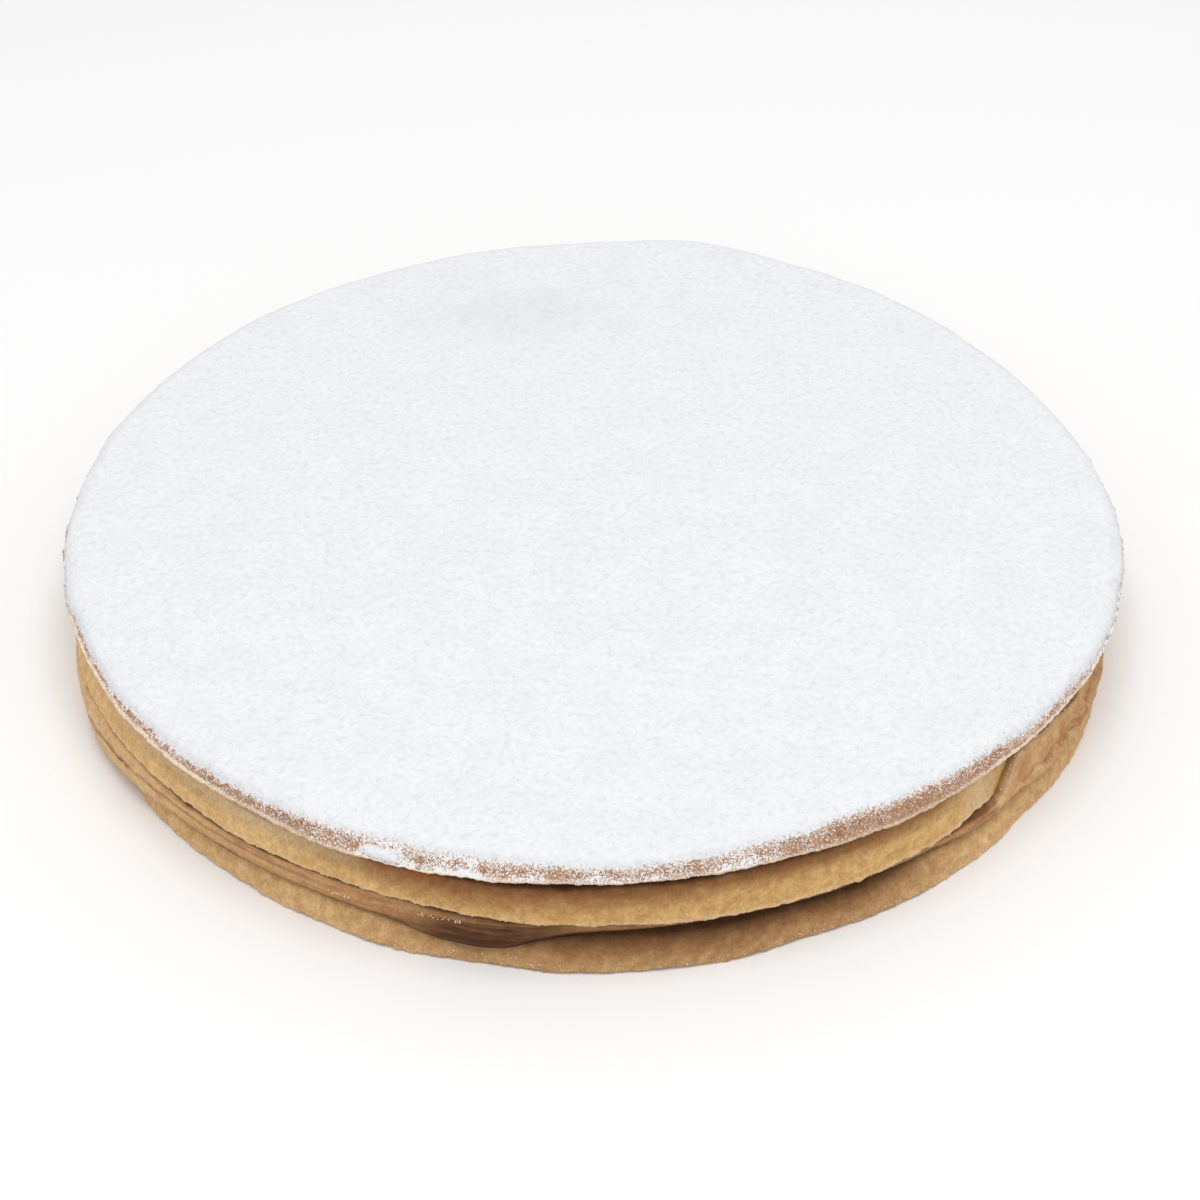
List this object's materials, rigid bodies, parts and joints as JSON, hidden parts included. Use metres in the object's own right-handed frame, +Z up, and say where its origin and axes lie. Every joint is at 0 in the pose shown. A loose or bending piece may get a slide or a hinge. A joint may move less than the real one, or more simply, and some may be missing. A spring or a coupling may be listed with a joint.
{
  "type": "alfajor cake",
  "caption": "Round layered alfajor cake: thick baked biscuits with dulce de leche between them, which sags and smears at the edge, under a covering of icing sugar.",
  "frame": {"origin": "centre of the cake's box at its underside, on the surface that it stands on", "axes": "+Z up through the layers; -Y towards the side where the filling sags over the bottom biscuit"},
  "size_m": [0.2584, 0.2574, 0.0315],
  "materials": {
    "biscuit": "matt baked crumb, golden, paler and thin at its edges",
    "dulce_de_leche": "thick milk caramel, half matt, with a wet shine where it sags",
    "icing_sugar": "fine white powder, dead matt"
  },
  "bodies": {
    "root": {"bottom_biscuit": "biscuit", "lower_filling": "dulce_de_leche", "middle_biscuit": "biscuit", "upper_filling": "dulce_de_leche", "top_biscuit": "biscuit", "icing_sugar": "icing_sugar"}
  },
  "joints": []
}
